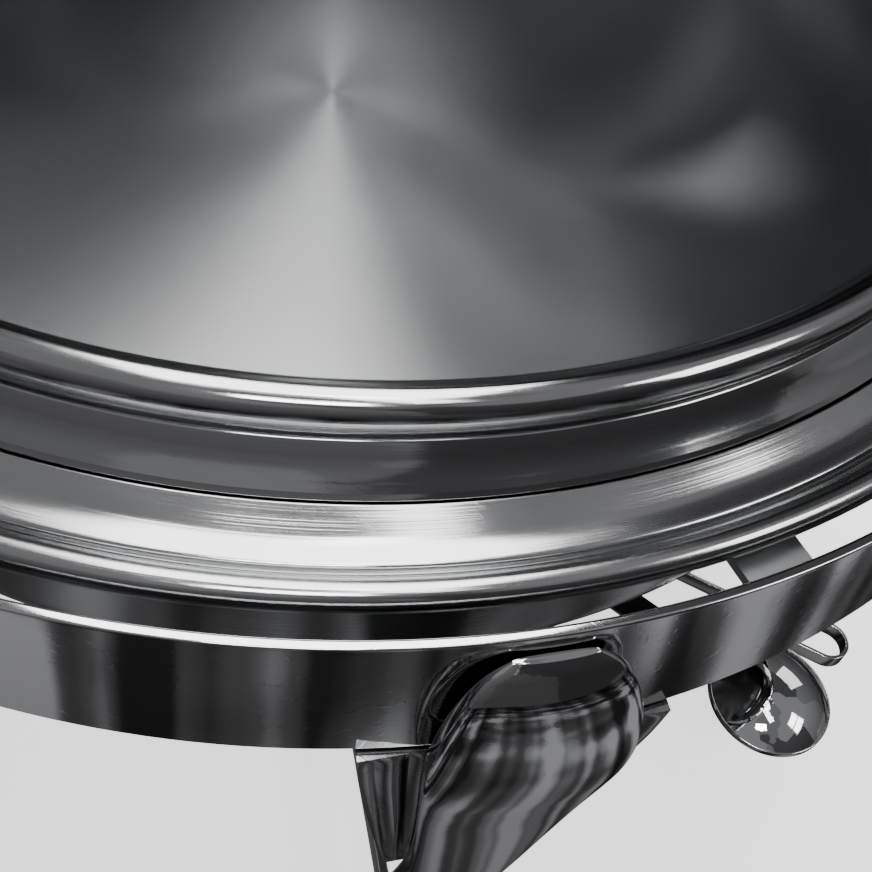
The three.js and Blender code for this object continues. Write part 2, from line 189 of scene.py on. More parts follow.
def build_wear():
    """Group: polishing haze, fine scratches and faint finger marks of handled stainless steel.
    Cloudy noise raises the roughness, stretched noise cuts hair scratches into the height."""
    group, given, out = node_group(
        "steel_wear",
        {"Roughness": 0.08, "Haze": 0.05, "Scratches": 0.3, "Scale": 1.0},
        {"Roughness": "NodeSocketFloat", "Height": "NodeSocketFloat", "Mask": "NodeSocketFloat"},
    )
    place = wire(group, "ShaderNodeTexCoord")
    spread = wire(group, "ShaderNodeVectorMath", {"operation": "SCALE"},
                  {0: place.outputs["Object"], "Scale": given.outputs["Scale"]})
    cloud = wire(group, "ShaderNodeTexNoise", {"Scale": 14.0, "Detail": 6.0, "Roughness": 0.62},
                 {"Vector": spread.outputs[0]})
    smear = wire(group, "ShaderNodeMapping", {"Rotation": (0.5, 0.3, 0.9), "Scale": (30.0, 420.0, 420.0)},
                 {"Vector": spread.outputs[0]})
    hair = wire(group, "ShaderNodeTexNoise", {"Scale": 1.0, "Detail": 3.0, "Roughness": 0.7},
                {"Vector": smear.outputs[0]})
    cross = wire(group, "ShaderNodeMapping", {"Rotation": (1.2, 2.1, 0.2), "Scale": (22.0, 500.0, 500.0)},
                 {"Vector": spread.outputs[0]})
    hair_two = wire(group, "ShaderNodeTexNoise", {"Scale": 1.0, "Detail": 2.0},
                    {"Vector": cross.outputs[0]})
    lines = wire(group, "ShaderNodeMath", {"operation": "MULTIPLY"},
                 {0: hair.outputs[0], 1: hair_two.outputs[0]})
    edge = wire(group, "ShaderNodeMapRange", {"From Min": 0.3, "From Max": 0.42},
                {"Value": lines.outputs[0]})
    height = wire(group, "ShaderNodeMath", {"operation": "MULTIPLY"},
                  {0: edge.outputs[0], 1: given.outputs["Scratches"]})
    dull = wire(group, "ShaderNodeMapRange", {"From Min": 0.42, "From Max": 0.72},
                {"Value": cloud.outputs[0]})
    hazy = wire(group, "ShaderNodeMath", {"operation": "MULTIPLY"},
                {0: dull.outputs[0], 1: given.outputs["Haze"]})
    rough = wire(group, "ShaderNodeMath", {"operation": "ADD"},
                 {0: hazy.outputs[0], 1: given.outputs["Roughness"]})
    more = wire(group, "ShaderNodeMath", {"operation": "MULTIPLY_ADD", 1: 0.04},
                {0: height.outputs[0], 2: rough.outputs[0]})
    group.links.new(more.outputs[0], out.inputs["Roughness"])
    group.links.new(height.outputs[0], out.inputs["Height"])
    group.links.new(dull.outputs[0], out.inputs["Mask"])
    return group


def build_turning():
    """Group: concentric marks left by spinning about Z. Noise read along the radius and the height
    gives rings; a second, coarser one gives broad bands, and slow noise breaks up the fine rings."""
    group, given, out = node_group(
        "turning_marks",
        {"Rings": 900.0, "Bands": 90.0, "Breakup": 0.25},
        {"Height": "NodeSocketFloat", "Mask": "NodeSocketFloat"},
    )
    place = wire(group, "ShaderNodeTexCoord")
    split = wire(group, "ShaderNodeSeparateXYZ", None, {0: place.outputs["Object"]})
    xx = wire(group, "ShaderNodeMath", {"operation": "MULTIPLY"},
              {0: split.outputs[0], 1: split.outputs[0]})
    rr = wire(group, "ShaderNodeMath", {"operation": "MULTIPLY_ADD"},
              {0: split.outputs[1], 1: split.outputs[1], 2: xx.outputs[0]})
    radius = wire(group, "ShaderNodeMath", {"operation": "SQRT"}, {0: rr.outputs[0]})
    along = wire(group, "ShaderNodeMath", {"operation": "ADD"}, {0: radius.outputs[0], 1: split.outputs[2]})
    fine_at = wire(group, "ShaderNodeMath", {"operation": "MULTIPLY"},
                   {0: along.outputs[0], 1: given.outputs["Rings"]})
    fine = wire(group, "ShaderNodeTexNoise",
                {"noise_dimensions": "1D", "Scale": 1.0, "Detail": 4.0, "Roughness": 0.7},
                {"W": fine_at.outputs[0]})
    band_at = wire(group, "ShaderNodeMath", {"operation": "MULTIPLY"},
                   {0: along.outputs[0], 1: given.outputs["Bands"]})
    band = wire(group, "ShaderNodeTexNoise", {"noise_dimensions": "1D", "Scale": 1.0, "Detail": 2.0},
                {"W": band_at.outputs[0]})
    slow = wire(group, "ShaderNodeTexNoise", {"Scale": 16.0, "Detail": 3.0},
                {"Vector": place.outputs["Object"]})
    fade = wire(group, "ShaderNodeMath", {"operation": "MULTIPLY_ADD", 2: 1.0},
                {0: slow.outputs[0], 1: given.outputs["Breakup"]})
    mixed = wire(group, "ShaderNodeMath", {"operation": "MULTIPLY"},
                 {0: fine.outputs[0], 1: fade.outputs[0]})
    total = wire(group, "ShaderNodeMath", {"operation": "MULTIPLY_ADD", 1: 0.5},
                 {0: band.outputs[0], 2: mixed.outputs[0]})
    group.links.new(total.outputs[0], out.inputs["Height"])
    group.links.new(band.outputs[0], out.inputs["Mask"])
    return group


WEAR = build_wear()
TURNING = build_turning()


def steel(name, colour, rough, haze, scratches, turning=None, bump=0.03, anisotropic=0.0):
    """Bare or plated metal with the wear group, and where it was spun with the turning group as well."""
    material = bpy.data.materials.new(name)
    material.use_nodes = True
    tree = material.node_tree
    shader = tree.nodes["Principled BSDF"]
    shader.inputs["Metallic"].default_value = 1.0
    shader.inputs["Anisotropic"].default_value = anisotropic
    shader.inputs["Anisotropic Rotation"].default_value = 0.25
    wear = wire(tree, "ShaderNodeGroup", {"node_tree": WEAR})
    for key, value in {"Roughness": rough, "Haze": haze, "Scratches": scratches}.items():
        wear.inputs[key].default_value = value
    tint = wire(tree, "ShaderNodeMix", {"data_type": "RGBA"}, {0: wear.outputs["Mask"]})
    tint.inputs[6].default_value = (*colour, 1)
    tint.inputs[7].default_value = (*(0.93 * c for c in colour), 1)
    tree.links.new(tint.outputs[2], shader.inputs["Base Color"])
    tree.links.new(wear.outputs["Roughness"], shader.inputs["Roughness"])
    height = wear.outputs["Height"]
    if turning:
        marks = wire(tree, "ShaderNodeGroup", {"node_tree": TURNING})
        for key, value in turning.items():
            marks.inputs[key].default_value = value
        joined = wire(tree, "ShaderNodeMath", {"operation": "MULTIPLY_ADD", 1: 1.5},
                      {0: marks.outputs["Height"], 2: height})
        height = joined.outputs[0]
        tangent = wire(tree, "ShaderNodeTangent", {"direction_type": "RADIAL", "axis": "Z"})
        tree.links.new(tangent.outputs[0], shader.inputs["Tangent"])
    relief = wire(tree, "ShaderNodeBump", {"Strength": bump, "Distance": 0.0004}, {"Height": height})
    tree.links.new(relief.outputs[0], shader.inputs["Normal"])
    return material


mirror_steel = steel("mirror_band_steel", (0.60, 0.605, 0.61), 0.055, 0.05, 0.5, bump=0.05)
EDGE = 0.0006
band_outline = rounded([
    (BAND_R - BAND_WALL, BAND_BOTTOM, EDGE), (BAND_R, BAND_BOTTOM, EDGE),
    (BAND_R, BAND_TOP, EDGE), (BAND_R - BAND_WALL, BAND_TOP, EDGE),
])
make("frame_band", turned(band_outline, 320), mirror_steel, "stand", ["frame_ring"])

# ---------------------------------------------------------------------------
# Food pan: spun from one sheet. A deep round bowl with a rolled bead, a cove
# below the bead and a flat flange that sits in the water pan. Satin inside.
# ---------------------------------------------------------------------------
BEAD_R = 0.173
BEAD_Z = BAND_TOP + 0.0133
BEAD_TUBE = 0.00455
FLANGE_R = 0.1832
PAN_FLOOR = BAND_TOP - 0.048
SHEET = 0.0011
spun_steel = steel("spun_pan_steel", (0.56, 0.565, 0.57), 0.34, 0.05, 0.2,
                   turning={"Rings": 2600.0, "Bands": 160.0, "Breakup": 0.3}, bump=0.06, anisotropic=0.93)


def pan_side(offset):
    """Inner wall of the bowl moved out by offset: a nearly flat floor, a 23.5 mm arc and a steep wall."""
    floor = np.stack([np.linspace(0, 0.118, 24), PAN_FLOOR - offset + 0.0022 * np.linspace(0, 1, 24) ** 3],
                     1)
    corner = arc(0.146, PAN_FLOOR + 0.028, 0.0235 + offset, -84, -5, 18)
    return np.concatenate([floor, corner])


inside = pan_side(0.0)
bead = arc(BEAD_R, BEAD_Z, BEAD_TUBE, 196, -66, 34)
cove = rounded([
    (0.1748, BAND_TOP + 0.0085, 0), (0.1763, BAND_TOP + 0.0087, 0.0005),
    (0.1793, BAND_TOP + 0.0046, 0.004), (0.1828, BAND_TOP + 0.0015, 0.001),
], 4)[:-1]
flange = rounded([
    (FLANGE_R - 0.0004, BAND_TOP + 0.0013, 0), (FLANGE_R, BAND_TOP + 0.0009, 0.0003),
    (FLANGE_R, BAND_TOP - 0.0002, 0.0003), (0.1790, BAND_TOP - 0.0002, 0.001),
    (0.1737, BAND_TOP + 0.0042, 0.002), (0.1713, BAND_TOP - 0.011, 0.002),
])
food_outline = np.concatenate([inside, bead, cove, flange, pan_side(SHEET)[::-1]])
polished_rim = steel("polished_rim_steel", (0.47, 0.475, 0.48), 0.10, 0.06, 0.25,
                     turning={"Rings": 1800.0, "Bands": 140.0, "Breakup": 0.4}, bump=0.04, anisotropic=0.3)
food_pan = make("food_pan_bowl", turned(food_outline), spun_steel, "food_pan", ["food_pan"],
                sharp=50)
# The rolled edge, cove and flange are buffed after spinning: every face outside the bowl's mouth
# and above the foot of the flange.
MOUTH_R = BEAD_R - BEAD_TUBE - 0.0002
BUFFED_FROM = BAND_TOP - 0.003
food_pan.data.materials.append(polished_rim)
centres = np.empty(3 * len(food_pan.data.polygons), np.float32)
food_pan.data.polygons.foreach_get("center", centres)
centres = centres.reshape(-1, 3)
buffed = (np.hypot(centres[:, 0], centres[:, 1]) > MOUTH_R) & (centres[:, 2] > BUFFED_FROM)
food_pan.data.polygons.foreach_set("material_index", buffed.astype(np.int32))

# ---------------------------------------------------------------------------
# Water pan: pressed from one sheet. The collar rises round the food pan's flange,
# a narrow ledge and a groove run outside it, and the edge is rolled to a bead.
# ---------------------------------------------------------------------------
LEDGE_Z = BAND_TOP - 0.0022
SEAT_Z = BAND_TOP - 0.0016
OUTER_BEAD_R = 0.1992
OUTER_BEAD_Z = BAND_TOP - 0.002
OUTER_TUBE = 0.003
BASIN_R = 0.1768
BASIN_FLOOR = BAND_TOP - 0.076
pressed_steel = steel("pressed_pan_steel", (0.47, 0.475, 0.48), 0.12, 0.08, 0.15,
                      turning={"Rings": 1800.0, "Bands": 60.0, "Breakup": 0.4}, bump=0.07, anisotropic=0.35)


def basin_side(offset):
    """Inner wall of the basin moved out by offset: a flat floor, an 18 mm arc and an upright wall."""
    corner = arc(BASIN_R - 0.018, BASIN_FLOOR + 0.018, 0.018 + offset, -88, 0, 16)
    return np.concatenate([[[0, BASIN_FLOOR - offset], [0.09, BASIN_FLOOR - offset]], corner])


collar = rounded([
    (BASIN_R, SEAT_Z - 0.003, 0.001), (0.1782, SEAT_Z, 0.001), (0.1837, SEAT_Z, 0.0005),
    (0.1837, BAND_TOP + 0.0010, 0.0005), (0.1896, LEDGE_Z + 0.0001, 0.002), (0.1938, LEDGE_Z, 0.0009),
    (0.1947, LEDGE_Z - 0.0019, 0.0008),
])[1:]
roll = arc(OUTER_BEAD_R, OUTER_BEAD_Z, OUTER_TUBE, 196, -110, 26)
below = rounded([
    (0.1957, OUTER_BEAD_Z - 0.0031, 0.0006), (0.1940, LEDGE_Z - 0.0031, 0.001),
    (0.1850, LEDGE_Z - 0.0031, 0.001),
    (0.1834, SEAT_Z - SHEET - 0.001, 0.001), (BASIN_R + SHEET + 0.0006, SEAT_Z - SHEET - 0.0017, 0.001),
])[1:]
water_outline = np.concatenate([basin_side(0.0), collar, roll, below, basin_side(SHEET)[::-1]])
make("water_pan_basin", turned(water_outline), pressed_steel, "water_pan", ["water_pan"],
     sharp=50)

# ---------------------------------------------------------------------------
# Hoop and brackets: a 6 mm rod hoop carries the water pan's edge. Five bent
# straps, spot welded to the band's inner wall and under the hoop, hold it.
# ---------------------------------------------------------------------------
HOOP_R = 0.191
HOOP_Z = BAND_TOP - 0.0089
satin_steel = steel("satin_stainless", (0.42, 0.425, 0.43), 0.28, 0.1, 0.6, bump=0.12)
make("pan_support_hoop", turned(arc(HOOP_R, HOOP_Z, 0.003, 0, 345, 23), 192), satin_steel,
     "stand", ["support_hoop"])


def bent_strap():
    """An L-shaped outline, a flat arm and a tab turned down, carried 14 mm along the hoop."""
    inner, outer = HOOP_R + 0.0033, BAND_R - BAND_WALL - 0.0006
    outline = rounded([
        (inner, -0.0098, 0.0004), (outer - 0.0022, -0.0098, 0.0015), (outer - 0.0022, -0.024, 0.0006),
        (outer, -0.024, 0.0006), (outer, -0.0076, 0.0028), (inner, -0.0076, 0.0004),
    ])
    width = np.linspace(-0.007, 0.007, 3)
    corners = np.stack([np.broadcast_to(outline[:, 0], (3, len(outline))),
                        np.broadcast_to(width[:, None], (3, len(outline))),
                        np.broadcast_to(outline[:, 1], (3, len(outline)))], -1)
    return corners.reshape(-1, 3), grid_faces(3, len(outline), False, True)


for number, bearing in enumerate((-80, -58, 0, 58, 80), 1):
    make(f"hoop_strap_{number}", placed(bent_strap(), bearing, BAND_TOP), satin_steel, "stand",
         [f"hoop_bracket_{number}"], cap=True)

# ---------------------------------------------------------------------------
# Legs: hollow formed stainless, mirror polished. A full knee overlaps the band,
# the shank tapers and sweeps inward, and the foot flares out over its pad.
# ---------------------------------------------------------------------------
chrome_leg = steel("mirror_leg_steel", (0.62, 0.625, 0.63), 0.035, 0.035, 0.35, bump=0.03)
LEG_STATIONS = np.array([
    [-0.0042, 0.2105, 0.2120, 0.0074], [-0.007, 0.2105, 0.2142, 0.0116], [-0.012, 0.2105, 0.2174, 0.0150],
    [-0.020, 0.2105, 0.2202, 0.0176], [-0.029, 0.2105, 0.2216, 0.0189], [-0.038, 0.2105, 0.2214, 0.0190],
    [-0.048, 0.2098, 0.2200, 0.0182], [-0.062, 0.2086, 0.2178, 0.0168], [-0.080, 0.2064, 0.2156, 0.0150],
    [-0.105, 0.2024, 0.2126, 0.0130], [-0.135, 0.1960, 0.2080, 0.0122], [-0.165, 0.1890, 0.2030, 0.0114],
    [-0.195, 0.1850, 0.1996, 0.0108], [-0.218, 0.1838, 0.2004, 0.0108], [-0.236, 0.1842, 0.2050, 0.0120],
    [-0.246, 0.1855, 0.2090, 0.0130],
])


def smooth_stations(stations, count):
    """Values between listed stations by Catmull-Rom, a cubic through each four neighbours in turn."""
    stations = np.asarray(stations, float)
    at = np.linspace(0, len(stations) - 1, count)
    k = np.minimum(at.astype(int), len(stations) - 2)
    t = (at - k)[:, None]
    last = len(stations) - 1
    p0, p1, p2, p3 = (stations[np.clip(k + shift, 0, last)] for shift in (-1, 0, 1, 2))
    return 0.5 * (2 * p1 + (p2 - p0) * t + (2 * p0 - 5 * p1 + 4 * p2 - p3) * t**2
                  + (3 * p1 - p0 - 3 * p2 + p3) * t**3)


def leg_shape():
    """Down the leg each section is a half ellipse outside and a flattened back: outward offset is the
    cosine of the angle, with its negative half raised to 0.35, and sideways offset is the sine."""
    rows = smooth_stations(LEG_STATIONS, 150)
    t = np.linspace(0, 2 * np.pi, 72, endpoint=False)
    flat = np.where(np.cos(t) < 0, -np.abs(np.cos(t)) ** 0.35, np.cos(t))
    depth = (rows[:, 2] - rows[:, 1]) / 2
    x = rows[:, 1:2] + depth[:, None] * (1 + flat)
    y = rows[:, 3:4] * np.sin(t)
    z = np.broadcast_to(rows[:, :1], x.shape)
    return np.stack([x, y, z], -1).reshape(-1, 3), grid_faces(len(rows), len(t), False, True)


for corner, bearing in BEARINGS.items():
    make(f"leg_shell_{corner}", placed(leg_shape(), bearing, BAND_TOP), chrome_leg, "stand",
         [f"leg_{corner}"], cap=True, sharp=60)

# ---------------------------------------------------------------------------
# Leg plates: a tapered bright plate behind each leg, pressed with upright ribs,
# stiffens the joint below the band.
# ---------------------------------------------------------------------------
plate_steel = steel("ribbed_plate_steel", (0.36, 0.365, 0.37), 0.12, 0.12, 0.6, bump=0.08)
PLATE_STATIONS = np.array([
    [-0.0366, 0.2100, 0.0296], [-0.048, 0.2095, 0.0284], [-0.062, 0.2083, 0.0262],
    [-0.080, 0.2062, 0.0230], [-0.105, 0.2022, 0.0186], [-0.135, 0.1958, 0.0130],
])
RIBS = 9


def ribbed_plate():
    """Across the plate the outer face dips by 1.1 mm in a row of rounded flutes, |sin| of the distance
    across, fading to nothing at the two ends; the back stays 3 mm behind the face."""
    rows = smooth_stations(PLATE_STATIONS, 60)
    across = np.linspace(-1, 1, 181)
    fade = np.clip(np.minimum(np.arange(60), np.arange(60)[::-1]) / 5.0, 0, 1)[:, None]
    dip = 0.0012 * (1 - np.abs(np.sin(across * RIBS * np.pi / 2))) * fade
    face = rows[:, 1:2] - 0.0003 - dip
    back = np.broadcast_to(rows[:, 1:2] - 0.0033, face.shape)
    y = rows[:, 2:3] * across
    z = np.broadcast_to(rows[:, :1], y.shape)
    front_grid, back_grid = np.stack([face, y, z], -1), np.stack([back, y, z], -1)[:, ::-1]
    corners = np.concatenate([front_grid, back_grid], 1)
    return corners.reshape(-1, 3), grid_faces(60, corners.shape[1], False, True)


for corner, bearing in BEARINGS.items():
    make(f"ribbed_plate_{corner}", placed(ribbed_plate(), bearing, BAND_TOP), plate_steel, "stand",
         [f"leg_plate_{corner}"], cap=True, sharp=50)

# ---------------------------------------------------------------------------
# Leg studs: satin screws from the band into each leg, flush inside the band.
# ---------------------------------------------------------------------------
def stud(radius, start, stop, edge=0.0004, segments=40):
    """A cylinder about the outward direction, its end edges rounded: the outline of half a section
    turned about X."""
    outline = rounded([(0, start, 0), (radius, start, edge), (radius, stop, edge), (0, stop, 0)])
    corners, faces = turned(outline, segments)
    return corners[:, [2, 1, 0]], faces


for corner, bearing in BEARINGS.items():
    make(f"leg_stud_{corner}", placed(stud(0.003, 0.2082, 0.2164), bearing, BAND_TOP - 0.020), satin_steel,
         "stand", [f"leg_screw_{corner}"])

# ---------------------------------------------------------------------------
# Foot pads: moulded black rubber buttons pressed into the legs' open ends.
# ---------------------------------------------------------------------------
rubber = bpy.data.materials.new("black_rubber")
rubber.use_nodes = True
rubber_tree = rubber.node_tree
rubber_shader = rubber_tree.nodes["Principled BSDF"]
rubber_place = wire(rubber_tree, "ShaderNodeTexCoord")
grain = wire(rubber_tree, "ShaderNodeTexNoise", {"Scale": 900.0, "Detail": 4.0},
             {"Vector": rubber_place.outputs["Object"]})
rubber_tone = wire(rubber_tree, "ShaderNodeMapRange", {"To Min": 0.55, "To Max": 0.9},
                   {"Value": grain.outputs[0]})
rubber_colour = wire(rubber_tree, "ShaderNodeMix", {"data_type": "RGBA"}, {0: grain.outputs[0]})
rubber_colour.inputs[6].default_value = (0.012, 0.012, 0.013, 1)
rubber_colour.inputs[7].default_value = (0.035, 0.035, 0.036, 1)
rubber_bump = wire(rubber_tree, "ShaderNodeBump", {"Strength": 0.3, "Distance": 0.0003},
                   {"Height": grain.outputs[0]})
rubber_tree.links.new(rubber_colour.outputs[2], rubber_shader.inputs["Base Color"])
rubber_tree.links.new(rubber_tone.outputs[0], rubber_shader.inputs["Roughness"])
rubber_tree.links.new(rubber_bump.outputs[0], rubber_shader.inputs["Normal"])
PAD_R = 0.1985


def foot_button():
    """A flat-bottomed disc with a bevelled lower edge and a shallow ring groove underneath."""
    outline = rounded([
        (0, 0.0006, 0), (0.0055, 0.0006, 0.0003), (0.006, 0.0, 0.0003), (0.0095, 0.0, 0.0008),
        (0.0105, 0.0012, 0.0008), (0.0105, 0.0037, 0.0004), (0, 0.0037, 0),
    ])
    corners, faces = turned(outline, 64)
    return corners + [PAD_R, 0, 0], faces


for corner, bearing in BEARINGS.items():
    make(f"foot_button_{corner}", placed(foot_button(), bearing), rubber, "stand", [f"foot_pad_{corner}"])

# ---------------------------------------------------------------------------
# Base: four flat arms on edge run in from the legs, near the table, to the pressed seat
# that locates the burner cup.
# ---------------------------------------------------------------------------
BASE_Z = 0.014
ARM_END = 0.1835
seat_outline = rounded([
    (0.030, BASE_Z, 0.0004), (0.048, BASE_Z, 0.002), (0.048, BASE_Z + 0.009, 0.0008),
    (0.0455, BASE_Z + 0.009, 0.0008), (0.0455, BASE_Z + 0.003, 0.001), (0.030, BASE_Z + 0.003, 0.0004),
])
seat_steel = steel("seat_steel", (0.50, 0.505, 0.51), 0.2, 0.1, 0.5,
                   turning={"Rings": 1500.0, "Bands": 120.0, "Breakup": 0.3}, bump=0.08, anisotropic=0.4)
make("burner_seat_ring", turned(seat_outline, 128), seat_steel, "stand", ["burner_seat"])


def flat_arm():
    """A rounded rectangle on edge, 3 mm thick and 12 mm high, carried outward from the seat to the leg."""
    path = np.stack([np.linspace(0.0486, ARM_END, 5), np.zeros(5), np.full(5, BASE_Z + 0.006)], 1)
    outline = rounded([(-0.0015, -0.006, 0.0006), (0.0015, -0.006, 0.0006),
                       (0.0015, 0.006, 0.0006), (-0.0015, 0.006, 0.0006)])
    return carried(path, outline)


for corner, bearing in BEARINGS.items():
    make(f"base_arm_{corner}", placed(flat_arm(), bearing), satin_steel, "stand", [f"lower_arm_{corner}"],
         cap=True)

# ---------------------------------------------------------------------------
# Lid pivots: on each side a satin pin passes through the lid's ear, the band, a
# nylon washer and a domed chrome knob, with a collar on its inner end.
# ---------------------------------------------------------------------------
PIVOT_Z = BAND_TOP - 0.015
WASHER_END = BAND_R + 0.0018
bright_chrome = steel("bright_chrome", (0.66, 0.665, 0.675), 0.03, 0.03, 0.3, bump=0.03)
nylon = bpy.data.materials.new("natural_nylon")
nylon.use_nodes = True
nylon_tree = nylon.node_tree
nylon_shader = nylon_tree.nodes["Principled BSDF"]
nylon_shader.inputs["Subsurface Weight"].default_value = 0.1
nylon_place = wire(nylon_tree, "ShaderNodeTexCoord")
nylon_cloud = wire(nylon_tree, "ShaderNodeTexNoise", {"Scale": 300.0, "Detail": 3.0},
                   {"Vector": nylon_place.outputs["Object"]})
nylon_colour = wire(nylon_tree, "ShaderNodeMix", {"data_type": "RGBA"}, {0: nylon_cloud.outputs[0]})
nylon_colour.inputs[6].default_value = (0.72, 0.70, 0.63, 1)
nylon_colour.inputs[7].default_value = (0.82, 0.80, 0.74, 1)
nylon_rough = wire(nylon_tree, "ShaderNodeMapRange", {"To Min": 0.4, "To Max": 0.6},
                   {"Value": nylon_cloud.outputs[0]})
nylon_tree.links.new(nylon_colour.outputs[2], nylon_shader.inputs["Base Color"])
nylon_tree.links.new(nylon_rough.outputs[0], nylon_shader.inputs["Roughness"])


def ring_about_x(inner, outer, start, stop, edge=0.0004):
    """A flat ring about the outward direction, its edges rounded."""
    outline = rounded([(inner, start, edge), (outer, start, edge), (outer, stop, edge),
                       (inner, stop, edge)])
    corners, faces = turned(outline, 72)
    return corners[:, [2, 1, 0]], faces


def domed_knob(start):
    """A turned thumb knob: a neck, a bead, and a dome whose height is three quarters of its radius."""
    dome = arc(0, 0, 1, 0, 90, 20) * [0.014, 0.0105] + [0, start + 0.003]
    outline = np.concatenate([
        [[0, start + 0.008], [0.0033, start + 0.008], [0.0033, start]],
        rounded([(0.0085, start, 0.0003), (0.0085, start + 0.0024, 0.0005),
                 (0.0136, start + 0.0028, 0.0004)])[:],
        dome[1:],
    ])
    corners, faces = turned(outline, 96)
    return corners[:, [2, 1, 0]], faces


for side, bearing in (("right", 90), ("left", -90)):
    pin = stud(0.003, 0.199, WASHER_END + 0.0077, 0.0006)
    make(f"lid_pin_{side}", placed(pin, bearing, PIVOT_Z), satin_steel, "stand", [f"pivot_pin_{side}"])
    make(f"lid_washer_{side}",
         placed(ring_about_x(0.0033, 0.009, BAND_R + 0.0003, WASHER_END), bearing, PIVOT_Z),
         nylon, "stand", [f"pivot_washer_{side}"])
    make(f"lid_knob_{side}", placed(domed_knob(WASHER_END + 0.0003), bearing, PIVOT_Z), bright_chrome,
         "stand", [f"pivot_knob_{side}"])
    make(f"lid_collar_{side}", placed(ring_about_x(0.0033, 0.0065, 0.2002, 0.2042), bearing, PIVOT_Z),
         satin_steel,
         "stand", [f"pivot_collar_{side}"])

# Rubber pegs inside the band stop the lid when it is fully open and when it is shut.
PEG_PLACES = {"open": (0.0174, -0.0176), "shut": (-0.024, 0.0141)}
for when, (behind, above) in PEG_PLACES.items():
    for side, sign in (("right", 1), ("left", -1)):
        bearing = sign * (90 + math.degrees(math.asin(behind / BAND_R)))
        peg = stud(0.0025, BAND_R - BAND_WALL - 0.0046, BAND_R - BAND_WALL - 0.0006, 0.0007)
        make(f"lid_peg_{when}_{side}", placed(peg, bearing, PIVOT_Z + above), rubber, "stand",
             [f"lid_stop_{when}_{side}"])

# ---------------------------------------------------------------------------
# Lid: a half-sphere spun from 1 mm sheet and polished, with an
# ear running down past the pivot on each side. It rests rolled back 80 degrees.
# ---------------------------------------------------------------------------
LID_R = 0.2064
LID_WALL = 0.001
RIM_RISE = 0.017
EAR_R = 0.013
LID_OPEN = math.radians(80)
lid_steel = steel("mirror_lid_steel", (0.60, 0.605, 0.61), 0.045, 0.05, 0.35, bump=0.035)


def rolled_back(corners):
    """Turns points of the shut lid, given about its pivot axis, by 80 degrees about X to the open place."""
    c, s = math.cos(-LID_OPEN), math.sin(-LID_OPEN)
    turn = np.array([[1, 0, 0], [0, c, -s], [0, s, c]])
    return corners @ turn.T + [0, 0, PIVOT_Z]


def rim_drop(y):
    """Height of the lid's lower edge above the pivot axis at the distance y in front or behind it: the
    straight rim, an S-shaped shoulder, and the ear's lower half circle below the pivot."""
    y = np.abs(y)
    shoulder = np.clip((y - EAR_R) / 0.006, 0, 1)
    ear = -np.sqrt(np.clip(EAR_R**2 - y**2, 0, None))
    return np.where(y < EAR_R, ear, RIM_RISE * (shoulder**2 * (3 - 2 * shoulder)) ** 0.5)


def lid_shape():
    """Each upright half circle runs from the rim to the crown. Its bearing t is spread so that more of
    them fall on the ears, and its lowest elevation is where the sphere meets the rim height."""
    even = np.linspace(0, 2 * np.pi, 720, endpoint=False)
    t = even - 0.46 * np.sin(2 * even)
    lowest = np.zeros_like(t)
    for _ in range(12):
        lowest = np.arcsin(rim_drop(LID_R * np.cos(lowest) * np.sin(t)) / LID_R)
    up = np.linspace(0, 1, 60) ** 1.15
    skins = []
    for radius in (LID_R, LID_R - LID_WALL):
        elevation = lowest[None] + up[:, None] * (np.pi / 2 - lowest[None])
        skins.append(radius * np.stack([np.cos(elevation) * np.cos(t), np.cos(elevation) * np.sin(t),
                                        np.sin(elevation)], -1))
    corners = np.concatenate([skins[0][::-1], skins[1]])
    return rolled_back(corners.reshape(-1, 3)), grid_faces(len(corners), len(t), False, True)


make("lid_half_sphere", lid_shape(), lid_steel, "lid", ["lid_dome"], sharp=40)

# ---------------------------------------------------------------------------
# Lid handle: an arched round grip on two turned posts, each on a rosette outside
# the dome and held by a hexagon nut inside it. Grip, posts and rosettes bright chrome, nuts satin.
# ---------------------------------------------------------------------------
HANDLE_RISE = math.radians(24)
HANDLE_HALF = 0.058
POST_SPREAD = 0.044
BAR_R = 0.0065
BAR_REACH = LID_R + 0.031


def on_handle(shape, sideways=0.0):
    """Moves a shape whose +X points outward to the handle's place on the shut lid's front, leant
    sideways by an angle along the bar, and rolls it back with the lid."""
    corners, faces = shape
    c, s = math.cos(sideways), math.sin(sideways)
    corners = corners @ np.array([[c, -s, 0], [s, c, 0], [0, 0, 1]]).T
    c, s = math.cos(HANDLE_RISE), math.sin(HANDLE_RISE)
    corners = corners @ np.array([[c, 0, -s], [0, 1, 0], [s, 0, c]]).T
    corners = corners @ np.array([[0, 1, 0], [-1, 0, 0], [0, 0, 1]]).T
    return rolled_back(corners), faces


def arched_grip():
    """A circle carried along a parabola, reach = ends + 22 mm x 4 t (1 - t) / 2, swelling in the middle
    and closing to rounded ends as a half ellipse."""
    t = 0.5 - 0.5 * np.cos(np.linspace(0, np.pi, 90))
    path = np.stack([BAR_REACH - 0.009 + 0.044 * t * (1 - t), HANDLE_HALF * (2 * t - 1), np.zeros_like(t)],
                    1)
    end = np.clip(np.minimum(t, 1 - t) / 0.055, 0, 1)
    swell = np.sqrt(1 - (1 - end) ** 2) * (0.88 + 0.12 * np.sin(np.pi * t))
    circle = arc(0, 0, BAR_R, 0, 350, 35)
    return carried(path, circle, scale=swell, side=(0, 0, 1))


